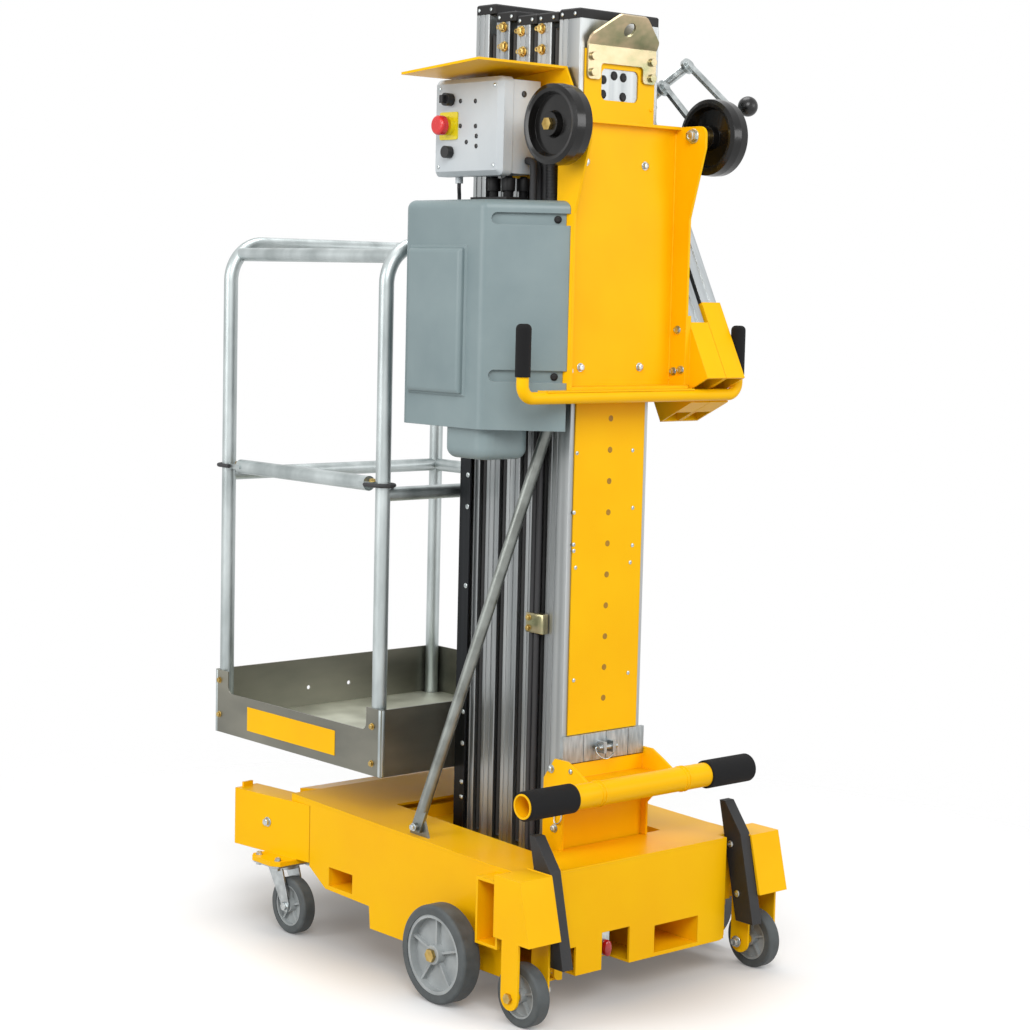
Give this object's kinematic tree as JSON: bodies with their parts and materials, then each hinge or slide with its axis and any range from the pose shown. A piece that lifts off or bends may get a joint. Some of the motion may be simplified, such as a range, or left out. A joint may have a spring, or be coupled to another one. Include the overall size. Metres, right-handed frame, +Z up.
{
  "type": "vertical mast lift",
  "caption": "Push-around vertical mast work platform with telescoping mast, guard-railed platform, outrigger sockets and wheeled base.",
  "frame": {"origin": "on the ground under the middle of the machine's length and width", "axes": "+Z up, +X to the machine's left, -Y to the front where the platform is"},
  "size_m": [0.797, 1.1785, 2.038],
  "materials": {
    "bare_aluminium": "satin",
    "black_phenolic": "gloss",
    "black_plastic": "satin",
    "black_rubber": "matte",
    "chromate_plated": "satin",
    "dark_aluminium": "satin",
    "dark_anodised": "satin",
    "grey_cover": "satin",
    "grip_foam": "matte",
    "light_grey_paint": "satin",
    "mast_aluminium": "satin",
    "rail_aluminium": "satin",
    "red_plastic": "gloss",
    "rim_plastic": "satin",
    "strut_steel": "satin",
    "tyre_rubber": "matte",
    "yellow_paint": "gloss",
    "zinc_plated": "satin"
  },
  "bodies": {
    "base": {"base_deck": "yellow_paint", "base_pan": "yellow_paint", "base_sides": "yellow_paint", "caster_brackets": "yellow_paint", "caster_plates": "zinc_plated", "column_1": "mast_aluminium", "column_cap_1": "black_plastic", "control_box": "light_grey_paint", "control_cable": "black_plastic", "controls": "black_plastic", "foot_band": "bare_aluminium", "front_sockets": "yellow_paint", "handle_grips": "grip_foam", "hood": "yellow_paint", "lifting_eye": "chromate_plated", "lower_handle": "yellow_paint", "mast_cradle": "yellow_paint", "outrigger_beams": "bare_aluminium", "outrigger_jacks": "zinc_plated", "power_cover": "grey_cover", "pump_valves": "black_plastic", "push_handle": "yellow_paint", "rear_cover": "yellow_paint", "rear_socket": "yellow_paint", "skid_bars": "black_rubber", "stop_button": "red_plastic", "stow_sockets": "yellow_paint", "struts": "strut_steel", "upper_frame": "yellow_paint", "wheel_axles": "zinc_plated"},
    "rear_wheel_left": {"rear_rim_left": "rim_plastic", "rear_tyre_left": "tyre_rubber"},
    "corner_wheel_left": {"corner_rim_left": "rim_plastic", "corner_tyre_left": "tyre_rubber"},
    "front_caster_left": {"caster_fork_left": "zinc_plated"},
    "caster_wheel_left": {"caster_rim_left": "rim_plastic", "caster_tyre_left": "tyre_rubber"},
    "loading_wheel_left": {"loading_wheel_left": "black_phenolic"},
    "rear_wheel_right": {"rear_rim_right": "rim_plastic", "rear_tyre_right": "tyre_rubber"},
    "corner_wheel_right": {"corner_rim_right": "rim_plastic", "corner_tyre_right": "tyre_rubber"},
    "front_caster_right": {"caster_fork_right": "zinc_plated"},
    "caster_wheel_right": {"caster_rim_right": "rim_plastic", "caster_tyre_right": "tyre_rubber"},
    "loading_wheel_right": {"loading_wheel_right": "black_phenolic"},
    "stage_2": {"column_2": "mast_aluminium", "column_cap_2": "black_plastic"},
    "stage_3": {"column_3": "mast_aluminium", "column_cap_3": "black_plastic"},
    "stage_4": {"column_4": "mast_aluminium", "column_cap_4": "black_plastic"},
    "stage_5": {"column_5": "mast_aluminium", "column_cap_5": "black_plastic"},
    "platform": {"carriage": "dark_anodised", "platform_floor": "bare_aluminium", "toe_boards": "dark_aluminium", "guard_rail": "rail_aluminium"},
    "entry_rail": {"entry_rail": "rail_aluminium", "rail_rings": "black_plastic"}
  },
  "joints": [
    {"name": "rear_wheel_spin_left", "type": "hinge", "parent": "base", "child": "rear_wheel_left", "pos_m": [0.367, 0.30975, 0.1015], "axis": [1, 0, 0], "continuous": true},
    {"name": "corner_wheel_spin_left", "type": "hinge", "parent": "base", "child": "corner_wheel_left", "pos_m": [0.332, 0.52575, 0.0635], "axis": [1, 0, 0], "continuous": true},
    {"name": "caster_swivel_left", "type": "hinge", "parent": "base", "child": "front_caster_left", "pos_m": [0.316, -0.31125, 0.145], "axis": [0, 0, 1], "continuous": true},
    {"name": "caster_wheel_spin_left", "type": "hinge", "parent": "front_caster_left", "child": "caster_wheel_left", "pos_m": [0.316, -0.27225, 0.0635], "axis": [1, 0, 0], "continuous": true},
    {"name": "loading_wheel_spin_left", "type": "hinge", "parent": "base", "child": "loading_wheel_left", "pos_m": [0.2195, 0.43875, 1.77], "axis": [1, 0, 0], "continuous": true},
    {"name": "rear_wheel_spin_right", "type": "hinge", "parent": "base", "child": "rear_wheel_right", "pos_m": [-0.367, 0.30975, 0.1015], "axis": [1, 0, 0], "continuous": true},
    {"name": "corner_wheel_spin_right", "type": "hinge", "parent": "base", "child": "corner_wheel_right", "pos_m": [-0.332, 0.52575, 0.0635], "axis": [1, 0, 0], "continuous": true},
    {"name": "caster_swivel_right", "type": "hinge", "parent": "base", "child": "front_caster_right", "pos_m": [-0.316, -0.31125, 0.145], "axis": [0, 0, 1], "continuous": true},
    {"name": "caster_wheel_spin_right", "type": "hinge", "parent": "front_caster_right", "child": "caster_wheel_right", "pos_m": [-0.316, -0.27225, 0.0635], "axis": [1, 0, 0], "continuous": true},
    {"name": "loading_wheel_spin_right", "type": "hinge", "parent": "base", "child": "loading_wheel_right", "pos_m": [-0.2195, 0.43875, 1.77], "axis": [1, 0, 0], "continuous": true},
    {"name": "lift_1", "type": "slide", "parent": "base", "child": "stage_2", "axis": [0, 0, 1], "range_m": [0, 1.4]},
    {"name": "lift_2", "type": "slide", "parent": "stage_2", "child": "stage_3", "axis": [0, 0, 1], "range_m": [0, 1.4]},
    {"name": "lift_3", "type": "slide", "parent": "stage_3", "child": "stage_4", "axis": [0, 0, 1], "range_m": [0, 1.4]},
    {"name": "lift_4", "type": "slide", "parent": "stage_4", "child": "stage_5", "axis": [0, 0, 1], "range_m": [0, 1.4]},
    {"name": "lift_5", "type": "slide", "parent": "stage_5", "child": "platform", "axis": [0, 0, 1], "range_m": [0, 1.4]},
    {"name": "entry_rail_slide", "type": "slide", "parent": "platform", "child": "entry_rail", "axis": [0, 0, 1], "range_m": [0, 0.39]}
  ],
  "couplings": [
    {"joint": "lift_2", "follows": "lift_1", "ratio": 1},
    {"joint": "lift_3", "follows": "lift_1", "ratio": 1},
    {"joint": "lift_4", "follows": "lift_1", "ratio": 1},
    {"joint": "lift_5", "follows": "lift_1", "ratio": 1}
  ]
}
